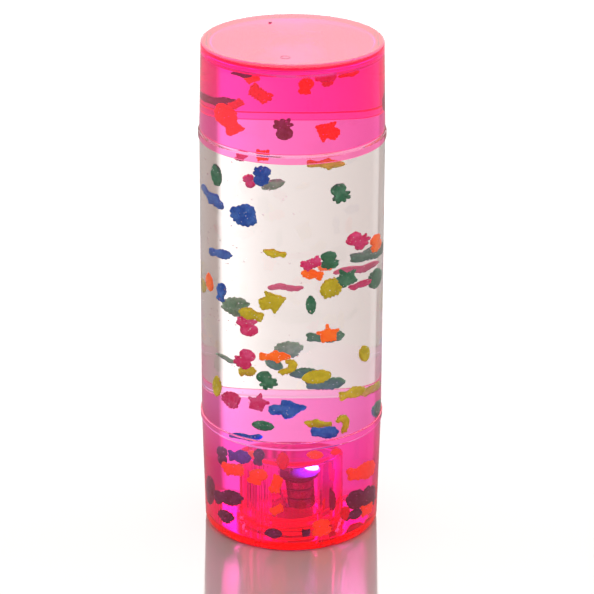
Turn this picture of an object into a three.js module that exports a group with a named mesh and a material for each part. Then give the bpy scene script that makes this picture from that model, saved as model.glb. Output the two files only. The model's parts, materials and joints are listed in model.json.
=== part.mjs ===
// A clear, liquid-filled rainmaker tube. It is turned end over end, so that the soft sea-creature
// pieces in it drift down like rain, and it has a flashing lamp module sealed in an air pocket
// that is moulded up into the lower cap. Millimetres, +Z up. The origin is the centre of the face
// that the tube stands on, and -Y is the side that its pieces face.
import * as THREE from "three";

// Overall sizes
const HEIGHT = 140;
const BARREL_R = 25;
const BARREL_WALL = 1.5;
const CAP_WALL = 2;
const LOWER_CAP_HEIGHT = 33.5;
const UPPER_CAP_HEIGHT = 26.8;

// The lap at each cap's mouth, where a thin lip goes over the stepped end of the barrel
const LIP_HEIGHT = 2.3;
const LIP_R = 25.35;
const LIP_WALL = 1;
const LAP_GAP = 0.3;

// The caps narrow towards their closed ends, for the mould
const LOWER_END_R = 24.2;
const UPPER_END_R = 24.45;
const LOWER_CORNER = 1.7;
const UPPER_CORNER = 0.9;
const INNER_CORNER = 1;

// The air pocket in the lower cap, and the plug that closes it from below
const POCKET_R = 8.9;
const POCKET_WALL = 1.5;
const POCKET_ROOF = 22.6;
const POCKET_CORNER = 1.5;
const PLUG_R = 8.6;
const PLUG_RECESS = 0.3;
const PLUG_T = 1.4;
const PLUG_BOSS_R = 7.3;
const PLUG_BOSS_H = 2.6;

// The lamp module, which leans to one side in its pocket
const MODULE_X = 3;
const MODULE_Z = 5.8;
const MODULE_LEAN = -0.08;
const MODULE_GAP = 0.3;
const CELL_R = 3.95;
const CELL_H = 2.6;
const CELL_EDGE = 0.3;
const CELL_COUNT = 3;
const STRIP_T = 0.35;
const STRIP_W = 2.6;
const STRIP_BULGE = 0.7;
const TAB_R = 2.4;
const TAB_T = 0.25;
const BOARD_R = 5.4;
const BOARD_T = 1;
const LED_X = 3.5;
const LED_Y = -0.9;
const LED_R = 2;
const LED_FLANGE_R = 2.4;
const LED_FLANGE_H = 0.4;
const LED_BODY_H = 0.2;
const CHIP_R = 1.5;
const CHIP_H = 0.9;
const CHIP_X = 0.3;
const CHIP_Y = 3.4;
const COIL_X = -2.6;
const COIL_R = 1;
const COIL_WIRE_R = 0.18;
const COIL_TURNS = 6;
const COIL_LENGTH = 4.2;
const COIL_RISE = 1.7;
const PIN_R = 0.25;

const FLOAT_T = 1.1; // thickness of the soft pieces
const ROUND = 48; // sides of the large shells
const SMALL_ROUND = 24; // sides of the round pieces in the module
const QUARTER = Math.PI / 2;

// ---------------------------------------------------------------- materials

const clear = new THREE.MeshStandardMaterial({
  color: 0xf4f6f6,
  roughness: 0.05,
  metalness: 0,
  transparent: true,
  opacity: 0.25,
});
const pink = new THREE.MeshStandardMaterial({
  color: 0xff3c96,
  roughness: 0.06,
  metalness: 0,
  transparent: true,
  opacity: 0.5,
});
const steel = new THREE.MeshStandardMaterial({ color: 0xb9b9b4, roughness: 0.3, metalness: 1 });
const board = new THREE.MeshStandardMaterial({ color: 0x2f6b3c, roughness: 0.6, metalness: 0 });
const epoxy = new THREE.MeshStandardMaterial({ color: 0x141414, roughness: 0.35, metalness: 0 });
const lamp = new THREE.MeshStandardMaterial({
  color: 0xe8e0ff,
  roughness: 0.1,
  metalness: 0,
  emissive: 0x6a30ff,
});

const DYES = {
  orange: 0xfa5f23,
  red: 0xe1371e,
  yellow: 0xcdb41e,
  green: 0x467d64,
  greygreen: 0x91a99b,
  teal: 0x648282,
  blue: 0x2d5aa5,
  magenta: 0xd7376e,
};
const dyed = Object.fromEntries(
  Object.entries(DYES).map(([name, color]) => [
    name,
    new THREE.MeshStandardMaterial({ color, roughness: 0.55, metalness: 0 }),
  ]),
);

// ---------------------------------------------------------------- helpers

// A solid turned about Z from a profile of (radius, height), run anticlockwise.
function turned(path, sides) {
  const geometry = new THREE.LatheGeometry(path.getPoints(3), sides);
  return geometry.rotateX(QUARTER);
}

function part(name, geometry, material, at = [0, 0, 0]) {
  const mesh = new THREE.Mesh(geometry, material);
  mesh.name = name;
  mesh.position.set(...at);
  return mesh;
}

// A disc standing on z = 0, with a small bevel round both edges.
function disc(radius, height, edge, sides = SMALL_ROUND) {
  const path = new THREE.Path();
  path.moveTo(0, 0);
  path.lineTo(radius - edge, 0);
  path.lineTo(radius, edge);
  path.lineTo(radius, height - edge);
  path.lineTo(radius - edge, height);
  path.lineTo(0, height);
  return turned(path, sides);
}

// The outline of a bent strip of even thickness, to the left and right of its middle line.
function stripOutline(points, thickness) {
  const middle = points.map(([x, y]) => new THREE.Vector2(x, y));
  const sides = [1, -1].map((side) =>
    middle.map((point, i) => {
      const before = middle[Math.max(i - 1, 0)];
      const after = middle[Math.min(i + 1, middle.length - 1)];
      const along = after.clone().sub(before).normalize();
      const across = new THREE.Vector2(-along.y, along.x);
      return point.clone().addScaledVector(across, (side * thickness) / 2);
    }),
  );
  return new THREE.Shape([...sides[1], ...sides[0].reverse()]);
}

// ---------------------------------------------------------------- shells

// A cap's outer skin, from its closed end round its corner and up to the inside of its lip.
function capSkin(path, height, endR, corner) {
  const shoulder = height - LIP_HEIGHT;
  path.lineTo(endR - corner, 0);
  path.absarc(endR - corner, corner, corner, -QUARTER, 0, false);
  path.lineTo(BARREL_R, shoulder);
  path.lineTo(LIP_R, shoulder + 0.2);
  path.lineTo(LIP_R, height);
  path.lineTo(LIP_R - LIP_WALL, height);
  path.lineTo(LIP_R - LIP_WALL, shoulder);
  path.lineTo(BARREL_R - CAP_WALL, shoulder);
  path.lineTo(endR - CAP_WALL, CAP_WALL + INNER_CORNER);
  path.lineTo(endR - CAP_WALL - INNER_CORNER, CAP_WALL);
}

function upperCap() {
  const path = new THREE.Path();
  path.moveTo(0, 0);
  capSkin(path, UPPER_CAP_HEIGHT, UPPER_END_R, UPPER_CORNER);
  path.lineTo(0, CAP_WALL);
  const geometry = turned(path, ROUND).rotateX(Math.PI);
  return part("upper_cap", geometry, pink, [0, 0, HEIGHT]);
}

function lowerCap() {
  const outer = POCKET_R + POCKET_WALL;
  const path = new THREE.Path();
  path.moveTo(0, POCKET_ROOF - POCKET_WALL);
  path.lineTo(POCKET_R, POCKET_ROOF - POCKET_WALL);
  path.lineTo(POCKET_R, 0);
  capSkin(path, LOWER_CAP_HEIGHT, LOWER_END_R, LOWER_CORNER);
  path.lineTo(outer, CAP_WALL);
  path.lineTo(outer, POCKET_ROOF - POCKET_CORNER);
  path.absarc(outer - POCKET_CORNER, POCKET_ROOF - POCKET_CORNER, POCKET_CORNER, 0, QUARTER, false);
  path.lineTo(0, POCKET_ROOF);
  return part("lower_cap", turned(path, ROUND), pink);
}

// The barrel is stepped at both ends, to fit inside the lips of the caps.
function barrel() {
  const innerR = BARREL_R - BARREL_WALL;
  const stepR = LIP_R - LIP_WALL - LAP_GAP;
  const bottom = LOWER_CAP_HEIGHT - LIP_HEIGHT + LAP_GAP;
  const top = HEIGHT - UPPER_CAP_HEIGHT + LIP_HEIGHT - LAP_GAP;
  const path = new THREE.Path();
  path.moveTo(innerR, bottom);
  path.lineTo(stepR, bottom);
  path.lineTo(stepR, bottom + LIP_HEIGHT);
  path.lineTo(BARREL_R, bottom + LIP_HEIGHT);
  path.lineTo(BARREL_R, top - LIP_HEIGHT);
  path.lineTo(stepR, top - LIP_HEIGHT);
  path.lineTo(stepR, top);
  path.lineTo(innerR, top);
  path.lineTo(innerR, bottom);
  return part("barrel", turned(path, ROUND), clear);
}

function basePlug() {
  const path = new THREE.Path();
  path.moveTo(0, 0);
  path.lineTo(PLUG_R, 0);
  path.lineTo(PLUG_R, PLUG_T);
  path.lineTo(PLUG_BOSS_R, PLUG_T);
  path.lineTo(PLUG_BOSS_R, PLUG_T + PLUG_BOSS_H);
  path.lineTo(0, PLUG_T + PLUG_BOSS_H);
  return part("base_plug", turned(path, 40), pink, [0, 0, PLUG_RECESS]);
}

// ---------------------------------------------------------------- lamp module

const stackTop = CELL_COUNT * (CELL_H + MODULE_GAP) - MODULE_GAP;
const boardBottom = stackTop + MODULE_GAP + TAB_T + MODULE_GAP;
const boardTop = boardBottom + BOARD_T;

function buttonCell(number) {
  const rise = (number - 1) * (CELL_H + MODULE_GAP);
  return part(`button_cell_${number}`, disc(CELL_R, CELL_H, CELL_EDGE), steel, [0, 0, rise]);
}

// A steel strip that runs under the cells and up their left side to the board.
function contactStrip() {
  const under = -MODULE_GAP - STRIP_T / 2;
  const beside = -CELL_R - MODULE_GAP - STRIP_T / 2;
  const top = boardBottom - MODULE_GAP;
  const route = [
    [CELL_R / 2, under],
    [beside, under],
    [beside - STRIP_BULGE, stackTop / 2],
    [beside, top],
  ];
  const geometry = new THREE.ExtrudeGeometry(stripOutline(route, STRIP_T), {
    depth: STRIP_W,
    bevelEnabled: false,
  });
  geometry.rotateX(QUARTER);
  return part("contact_strip", geometry, steel, [0, STRIP_W / 2, 0]);
}

function topContact() {
  return part("top_contact", disc(TAB_R, TAB_T, 0.05), steel, [0, 0, stackTop + MODULE_GAP]);
}

function circuitBoard() {
  return part("circuit_board", disc(BOARD_R, BOARD_T, 0.05, 32), board, [0, 0, boardBottom]);
}

// A flanged lamp with a domed lens.
function ledLamp() {
  const dome = LED_FLANGE_H + LED_BODY_H;
  const path = new THREE.Path();
  path.moveTo(0, 0);
  path.lineTo(LED_FLANGE_R, 0);
  path.lineTo(LED_FLANGE_R, LED_FLANGE_H);
  path.lineTo(LED_R, LED_FLANGE_H);
  path.lineTo(LED_R, dome);
  path.absarc(0, dome, LED_R, 0, QUARTER, false);
  return part("led_lamp", turned(path, SMALL_ROUND), lamp, [LED_X, LED_Y, boardTop + MODULE_GAP]);
}

function controllerChip() {
  const at = [CHIP_X, CHIP_Y, boardTop + MODULE_GAP];
  return part("controller_chip", disc(CHIP_R, CHIP_H, 0.35, 16), epoxy, at);
}

class Helix extends THREE.Curve {
  getPoint(t, target = new THREE.Vector3()) {
    const turn = t * COIL_TURNS * 2 * Math.PI;
    return target.set(COIL_R * Math.cos(turn), COIL_LENGTH * (0.5 - t), COIL_R * Math.sin(turn));
  }
}

function wire(curve, radius, steps) {
  const section = new THREE.Shape().absarc(0, 0, radius, 0, 2 * Math.PI, false);
  return new THREE.ExtrudeGeometry(section, {
    steps,
    curveSegments: 3,
    bevelEnabled: false,
    extrudePath: curve,
  });
}

// The shake switch: a loose coil that touches the pin in it when the tube is moved.
function shakeCoil() {
  const geometry = wire(new Helix(), COIL_WIRE_R, COIL_TURNS * 9);
  return part("shake_coil", geometry, steel, [COIL_X, 0, boardTop + COIL_RISE]);
}

function shakePin() {
  const end = COIL_LENGTH / 2 + 0.7;
  const foot = MODULE_GAP - COIL_RISE;
  const route = new THREE.CatmullRomCurve3([
    new THREE.Vector3(0, -end, foot),
    new THREE.Vector3(0, -end, -0.6),
    new THREE.Vector3(0, -end + 0.5, 0),
    new THREE.Vector3(0, 0, 0),
    new THREE.Vector3(0, end - 1, 0),
  ]);
  return part("shake_pin", wire(route, PIN_R, 14), steel, [COIL_X, 0, boardTop + COIL_RISE]);
}

function lampModule() {
  const module = new THREE.Group();
  for (let number = 1; number <= CELL_COUNT; number += 1) {
    module.add(buttonCell(number));
  }
  module.add(contactStrip(), topContact(), circuitBoard(), ledLamp(), controllerChip());
  module.add(shakeCoil(), shakePin());
  module.position.set(MODULE_X, 0, MODULE_Z);
  module.rotation.y = MODULE_LEAN;
  return module;
}

// ---------------------------------------------------------------- floats

// Outlines of the soft pieces, drawn about 6 mm across with smooth curves.
const OUTLINES = {
  fish: [
    [3.4, 0], [2.2, 1.5], [0.2, 1.9], [-1.8, 0.7], [-3.3, 1.8],
    [-2.8, 0], [-3.3, -1.8], [-1.8, -0.7], [0.2, -1.7], [2.2, -1.3],
  ],
  angelfish: [
    [3.1, 0], [1.3, 1.4], [-0.9, 3.2], [-0.7, 1], [-3.1, 1.7],
    [-2.5, 0], [-3.1, -1.7], [-0.7, -1], [-0.9, -3.2], [1.3, -1.4],
  ],
  arrowfish: [
    [3.9, 0.3], [2, 1.1], [0.3, 2.3], [-1, 2.2], [-1.1, 0.7], [-3.5, 1.4],
    [-2.9, 0], [-3.7, -1.3], [-1.1, -0.7], [-0.9, -2.3], [0.5, -2.2], [2.1, -0.8],
  ],
  dolphin: [
    [3.9, -0.2], [2.4, 1.1], [0.9, 1.2], [0, 2], [-0.6, 1], [-2.4, 0.5], [-3.9, 1.4],
    [-3.4, 0], [-3.9, -1], [-2.2, -0.6], [0, -1], [0.6, -1.8], [1.3, -1], [2.8, -0.8],
  ],
  whale: [
    [3.5, 0.4], [2.2, 1.7], [0, 1.6], [-1.9, 0.7], [-3.5, 1.6],
    [-3, 0.1], [-3.2, -1], [-1.6, -0.9], [0.6, -1.6], [2.8, -1.1],
  ],
  eel: [
    [3.9, 0.5], [2.6, 1.2], [0.9, 0.5], [-0.9, 1.1], [-2.6, 0.9], [-3.9, -0.2],
    [-2.5, -0.4], [-0.9, -0.4], [0.9, -1.1], [2.6, -0.5],
  ],
  shell: [
    [0.9, -2.5], [1.8, -1.1], [3, 0.5], [2.2, 1.3], [1.7, 2.2], [0.8, 2.1],
    [0, 2.7], [-0.8, 2.1], [-1.7, 2.2], [-2.2, 1.3], [-3, 0.5], [-1.8, -1.1], [-0.9, -2.5],
  ],
  octopus: [
    [0, 3], [1.6, 2.3], [1.7, 0.9], [1, 0], [2.5, -0.7], [1.5, -1.2], [1.7, -2.7], [0.6, -1.6],
    [0, -3], [-0.6, -1.6], [-1.7, -2.7], [-1.5, -1.2], [-2.5, -0.7], [-1, 0], [-1.7, 0.9], [-1.6, 2.3],
  ],
  crab: [
    [0, -1.6], [1.6, -1.3], [2.3, -2.1], [2.4, -0.6], [3, 0.6], [2.6, 2], [1.6, 1.3], [0.8, 1.5],
    [0, 1.2], [-0.8, 1.5], [-1.6, 1.3], [-2.6, 2], [-3, 0.6], [-2.4, -0.6], [-2.3, -2.1], [-1.6, -1.3],
  ],
  star: [
    [0, 3.1], [0.75, 1], [2.95, 0.95], [1.2, -0.4], [1.8, -2.5],
    [0, -1.25], [-1.8, -2.5], [-1.2, -0.4], [-2.95, 0.95], [-0.75, 1],
  ],
  leaf: [
    [0, 3], [1.2, 1.6], [1.5, 0], [1.1, -1.6], [0, -3], [-1.1, -1.6], [-1.5, 0], [-1.2, 1.6],
  ],
  seahorse: [
    [0.4, 3], [1.7, 2], [1.8, 0.2], [0.9, -1.4], [-0.6, -2.7], [-1.4, -2],
    [-0.4, -1], [0.2, 0.4], [-0.2, 1.3], [-1.6, 1.7], [-1, 2.5],
  ],
};

// Each piece: dye, kind, then where it hangs in the liquid [across, deep, high], its size against
// its outline, its roll in its own plane and its turn about Z, in degrees.
const FLOATS = [
  ["orange", "fish", [-13, 0, 119], 1.4, 118, 20],
  ["green", "octopus", [-2, -12, 120], 1, 190, 0],
  ["orange", "angelfish", [8, -11.5, 119], 1, 150, 10],
  ["red", "crab", [-7.5, -13, 129.5], 0.95, -35, -10],
  ["green", "whale", [-12, 9.5, 121], 0.85, 0, -30],
  ["yellow", "dolphin", [6, 8, 105], 0.88, -4, 0],
  ["green", "leaf", [-17.5, -6.5, 104.5], 1.05, 5, -50],
  ["blue", "octopus", [-7, -12, 107], 0.95, 175, 15],
  ["greygreen", "leaf", [-3.5, 5, 100], 0.8, 120, 0],
  ["green", "octopus", [11, -10, 101], 0.95, 20, 20],
  ["blue", "dolphin", [-16, 2.5, 95.5], 0.95, -42, -35],
  ["blue", "shell", [-11, -10, 95], 1.2, 150, -15],
  ["blue", "fish", [-14, 3, 79.5], 0.7, 0, -20],
  ["yellow", "dolphin", [-4, -12, 85], 0.7, 170, 0],
  ["magenta", "octopus", [14.5, -4, 85.5], 1, 50, 30],
  ["teal", "whale", [14.5, 5.5, 78.5], 1.1, 8, 25],
  ["magenta", "crab", [4.5, -12, 82], 0.78, 25, 0],
  ["green", "octopus", [8, -4.5, 80.5], 0.88, 8, 0],
  ["magenta", "eel", [11, 9, 73.5], 1, 6, 0],
  ["green", "star", [11.3, -2.3, 74.5], 1.05, 25, 15],
  ["green", "leaf", [16, 5, 71], 1, -5, 40],
  ["orange", "fish", [4.5, -7, 77.5], 0.72, 165, 0],
  ["yellow", "shell", [9.5, -15, 75.5], 1, 65, 15],
  ["blue", "fish", [-17, -9.5, 72], 0.8, 80, -45],
  ["magenta", "eel", [-1, 8, 69.5], 0.85, 176, 0],
  ["yellow", "angelfish", [-4.5, -12, 71], 1.08, 20, 0],
  ["greygreen", "shell", [-11.5, -0.5, 65.5], 1.05, 20, -10],
  ["yellow", "fish", [-9.2, -9.3, 66.3], 0.88, 165, -5],
  ["magenta", "octopus", [-9.5, -4, 61.5], 1.05, 195, -10],
  ["orange", "star", [8.5, -11, 61], 1.02, 6, 5],
  ["green", "whale", [6, 8, 54.5], 0.95, 0, 0],
  ["magenta", "octopus", [-11, -10, 53], 1.05, -28, -10],
  ["greygreen", "shell", [-0.5, 8, 51], 0.9, 10, 0],
  ["orange", "dolphin", [-4, -14, 55.5], 0.98, 2, 0],
  ["yellow", "seahorse", [-1, -10, 51], 0.9, -30, 0],
  ["green", "octopus", [-5.5, -8, 46.5], 0.92, 30, 0],
  ["yellow", "leaf", [6, -12, 49], 1.25, 97, 0],
  ["green", "whale", [6, 8, 40.3], 1, 4, 0],
  ["yellow", "fish", [12.5, 0, 39.5], 0.85, 10, 15],
  ["magenta", "shell", [-14, -8, 40], 0.9, 20, -30],
  ["magenta", "star", [-8, -12, 41], 1, -15, 0],
  ["blue", "arrowfish", [-1, -5.5, 37.2], 1.15, 4, 0],
  ["yellow", "dolphin", [6, -8, 33.5], 0.82, 172, 0],
  ["blue", "whale", [7.8, -12, 32.2], 0.98, -10, 10],
  ["blue", "fish", [-13.2, -15.2, 25.5], 1.05, 8, -38],
  ["orange", "leaf", [-19, -3.5, 72.5], 0.85, 10, -60],
];

function floatGeometry(kind, size, roll) {
  const [first, ...rest] = OUTLINES[kind].map(([x, y]) => new THREE.Vector2(x, y));
  const shape = new THREE.Shape();
  shape.moveTo(first.x, first.y);
  shape.splineThru([...rest, first]);
  const geometry = new THREE.ExtrudeGeometry(shape, {
    depth: FLOAT_T / size,
    curveSegments: 1,
    bevelEnabled: false,
  });
  geometry.translate(0, 0, -FLOAT_T / size / 2);
  geometry.scale(size, size, size);
  return geometry.rotateZ(THREE.MathUtils.degToRad(roll));
}

function floats() {
  const shoal = new THREE.Group();
  const seen = {};
  for (const [dye, kind, at, size, roll, turn] of FLOATS) {
    const label = `${dye}_${kind}`;
    seen[label] = (seen[label] ?? 0) + 1;
    const mesh = part(`${label}_${seen[label]}`, floatGeometry(kind, size, roll), dyed[dye], at);
    mesh.rotation.set(QUARTER, 0, THREE.MathUtils.degToRad(turn), "ZXY");
    shoal.add(mesh);
  }
  return shoal;
}

// ---------------------------------------------------------------- assembly

const group = new THREE.Group();
group.add(barrel(), upperCap(), lowerCap(), basePlug(), lampModule(), floats());

export default group;
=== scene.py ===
"""A clear rainmaker tube with pink caps, soft sea-creature pieces drifting in its liquid and a
flashing lamp module in an air pocket moulded up into the lower cap.

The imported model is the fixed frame. Here the moulded shells are turned again as smooth plastic
that bends light, the liquid is added, and every soft piece gets its rounded moulded form.
"""
import json
import math
import random

import bmesh
import bpy
import numpy as np
from mathutils import Matrix, Vector, noise


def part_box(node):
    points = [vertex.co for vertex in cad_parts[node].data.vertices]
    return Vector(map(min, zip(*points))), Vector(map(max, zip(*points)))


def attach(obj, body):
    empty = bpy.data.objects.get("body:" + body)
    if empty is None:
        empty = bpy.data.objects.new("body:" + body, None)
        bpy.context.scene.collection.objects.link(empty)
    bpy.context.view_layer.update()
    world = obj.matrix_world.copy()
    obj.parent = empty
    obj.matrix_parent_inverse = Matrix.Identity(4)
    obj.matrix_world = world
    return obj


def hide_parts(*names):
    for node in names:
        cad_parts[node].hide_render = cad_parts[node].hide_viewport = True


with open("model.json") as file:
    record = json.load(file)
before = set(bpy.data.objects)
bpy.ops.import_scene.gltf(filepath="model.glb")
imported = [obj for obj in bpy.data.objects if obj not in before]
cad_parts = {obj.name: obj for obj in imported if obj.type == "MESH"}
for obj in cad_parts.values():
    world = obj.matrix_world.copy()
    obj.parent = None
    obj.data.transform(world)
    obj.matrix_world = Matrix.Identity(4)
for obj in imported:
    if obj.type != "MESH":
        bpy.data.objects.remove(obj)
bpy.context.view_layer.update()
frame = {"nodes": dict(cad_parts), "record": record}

MM = 0.001
random.seed(7)

# ------------------------------------------------------------------ sizes, in mm unless named

BARREL_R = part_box("barrel")[1].x / MM
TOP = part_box("upper_cap")[1].z / MM
LOWER_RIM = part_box("lower_cap")[1].z / MM      # mouth of the lower cap
UPPER_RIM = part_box("upper_cap")[0].z / MM      # mouth of the upper cap
LIP_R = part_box("upper_cap")[1].x / MM
LIP_HEIGHT, LIP_WALL = 2.3, 1.0
BARREL_WALL, CAP_WALL = 1.5, 2.0
LOWER_END_R, UPPER_END_R = 24.2, 24.45
LOWER_CORNER, UPPER_CORNER, INNER_CORNER = 1.7, 0.9, 1.0
POCKET_R, POCKET_WALL, POCKET_ROOF, POCKET_CORNER = 8.9, 1.5, 22.6, 1.5
PLUG_R, PLUG_LOW, PLUG_T, BOSS_R, BOSS_H = 8.6, 0.3, 1.4, 7.3, 2.6
WATERLINE, MENISCUS = 136.1, 0.15              # the liquid's level, and how far it creeps up the wall
SKIN = 0.02                                    # how far the liquid's own skin lies off the walls

BARREL_INNER = BARREL_R - BARREL_WALL
CAP_INNER = BARREL_R - CAP_WALL
STEP_R = LIP_R - LIP_WALL
LOWER_SHOULDER = LOWER_RIM - LIP_HEIGHT
UPPER_SHOULDER = UPPER_RIM + LIP_HEIGHT
POCKET_OUTER = POCKET_R + POCKET_WALL
LOWER_INNER, UPPER_INNER = LOWER_END_R - CAP_WALL, UPPER_END_R - CAP_WALL
CEILING = TOP - CAP_WALL
WET_TO = WATERLINE + MENISCUS
# The upper cap's inside radius at the height where the liquid ends
WET_WALL = UPPER_INNER + (CAP_INNER - UPPER_INNER) * (CEILING - WET_TO) / (CEILING - UPPER_SHOULDER)

SIDES = 144                                    # sides of a turned shell
TEETH = 210                                    # weld teeth round the upper cap's top
VOXEL = 0.26                                   # how finely the soft pieces are rounded
SWELL = 0.22                                   # what that rounding takes off, given back

# The finish of a shell's face, by what it touches, and how strongly light bends there
AIR, LIQUID, WELD = 0, 1, 2
PLASTIC_IOR = 1.49
LIQUID_IOR = 1.333
DRY, WET, JOINED = PLASTIC_IOR, PLASTIC_IOR / LIQUID_IOR, 1.0
BENDS = (DRY, WET, JOINED)

# What the pink dye lets through, and how much of it each cap holds
PINK_DYE = (0.993, 0.005, 0.74, 1.0)
UPPER_DENSITY, LOWER_DENSITY = 800.0, 640.0

# The studio's brightness. The liquid gathers the softbox, the screen, dark cards and the steep
# view past them. Open air shows the backdrop and what is overhead.
SOFTBOX, SCREEN, CARD, STEEP = 2.2, 1.05, 0.06, 0.3
BACKDROP, OVERHEAD = 3.0, 3.0
INSIDE = 1.5                                   # the soft light on matt things seen through the tube
FLOOR_SHINE = 0.3
LAMP_BLUE = (0.24, 0.10, 1.0)

# ------------------------------------------------------------------ node helpers


def fresh_material(name):
    """A material with no nodes yet."""
    material = bpy.data.materials.new(name)
    material.use_nodes = True
    material.node_tree.nodes.clear()
    return material


def add(tree, kind, settings=None, **inputs):
    """A new node. An input is a number, a tuple or another node's output socket. It goes by its
    name, or by i and its number."""
    node = tree.nodes.new(kind)
    for key, value in (settings or {}).items():
        setattr(node, key, value)
    for key, value in inputs.items():
        name = key.replace("_", " ")
        socket = node.inputs[int(name[1:])] if name[0] == "i" and name[1:].isdigit() else node.inputs[name]
        if isinstance(value, bpy.types.NodeSocket):
            tree.links.new(value, socket)
        else:
            socket.default_value = value
    return node


def maths(tree, operation, a, b=0.0):
    """One sum, or a function of a, of numbers and sockets."""
    return add(tree, "ShaderNodeMath", {"operation": operation}, i0=a, i1=b).outputs[0]


def times(tree, first, *others):
    """The product of numbers and sockets."""
    for other in others:
        first = maths(tree, "MULTIPLY", first, other)
    return first


def plus(tree, first, *others):
    """The sum of numbers and sockets."""
    for other in others:
        first = maths(tree, "ADD", first, other)
    return first


def ramp(tree, value, low, high, start=0.0, end=1.0, smooth=True):
    """value from low to high becomes start to end."""
    kind = "SMOOTHSTEP" if smooth else "LINEAR"
    node = add(tree, "ShaderNodeMapRange", {"interpolation_type": kind, "clamp": True}, Value=value)
    for key, number in zip(("From Min", "From Max", "To Min", "To Max"), (low, high, start, end)):
        node.inputs[key].default_value = number
    return node.outputs["Result"]


def band(tree, value, rise, fall):
    """1 between two edges, each given as where it is 0 and where it is 1."""
    return times(tree, ramp(tree, value, *rise), ramp(tree, value, *fall))


def choose(tree, factor, a, b):
    """Number a where factor is 0 and number b where it is 1."""
    return add(tree, "ShaderNodeMix", i0=factor, i2=a, i3=b).outputs[0]


def mixed(tree, factor, a, b):
    """Colour a where factor is 0 and colour b where it is 1."""
    return add(tree, "ShaderNodeMix", {"data_type": "RGBA"}, i0=factor, i6=a, i7=b).outputs[2]


def place(tree):
    """Where a point of the surface is, in metres."""
    return add(tree, "ShaderNodeTexCoord").outputs["Object"]


def axes(tree):
    """The same place as three numbers in mm: across, deep and up."""
    spot = add(tree, "ShaderNodeVectorMath", {"operation": "SCALE"}, i0=place(tree), Scale=1 / MM)
    return add(tree, "ShaderNodeSeparateXYZ", Vector=spot.outputs[0]).outputs


def away_from(tree, spot):
    """How far the surface is from a spot, in metres."""
    node = add(tree, "ShaderNodeVectorMath", {"operation": "DISTANCE"}, i0=place(tree), i1=spot)
    return node.outputs["Value"]


def grain(tree, scale, detail=3.0, roughness=0.5):
    """Noise with scale features to the metre."""
    node = add(tree, "ShaderNodeTexNoise", Vector=place(tree), Scale=scale, Detail=detail)
    node.inputs["Roughness"].default_value = roughness
    return node.outputs["Fac"]


def bump(tree, height, distance, strength=1.0):
    """Shading relief of a height between 0 and 1, with its depth in metres."""
    return add(tree, "ShaderNodeBump", Height=height, Distance=distance, Strength=strength).outputs[0]


def finish_with(material, shader, volume=None):
    """The material with its shader, and what fills it, joined to its output."""
    tree = material.node_tree
    output = add(tree, "ShaderNodeOutputMaterial")
    tree.links.new(shader.outputs[0], output.inputs["Surface"])
    if volume is not None:
        tree.links.new(volume.outputs[0], output.inputs["Volume"])
    return material


# ------------------------------------------------------------------ materials


def plastic(name, ior):
    """Clear moulded plastic: barely wavy, with faint rub marks."""
    material = fresh_material(name)
    tree = material.node_tree
    wave = grain(tree, 55, 1.0)
    rub = ramp(tree, grain(tree, 900, 4.0, 0.7), 0.62, 0.8, 0.0, 0.035)
    shader = add(tree, "ShaderNodeBsdfPrincipled", Base_Color=(0.995, 0.997, 0.996, 1.0), IOR=ior,
                 Transmission_Weight=1.0, Roughness=rub, Normal=bump(tree, wave, 0.0002, 0.35))
    return finish_with(material, shader)


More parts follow.
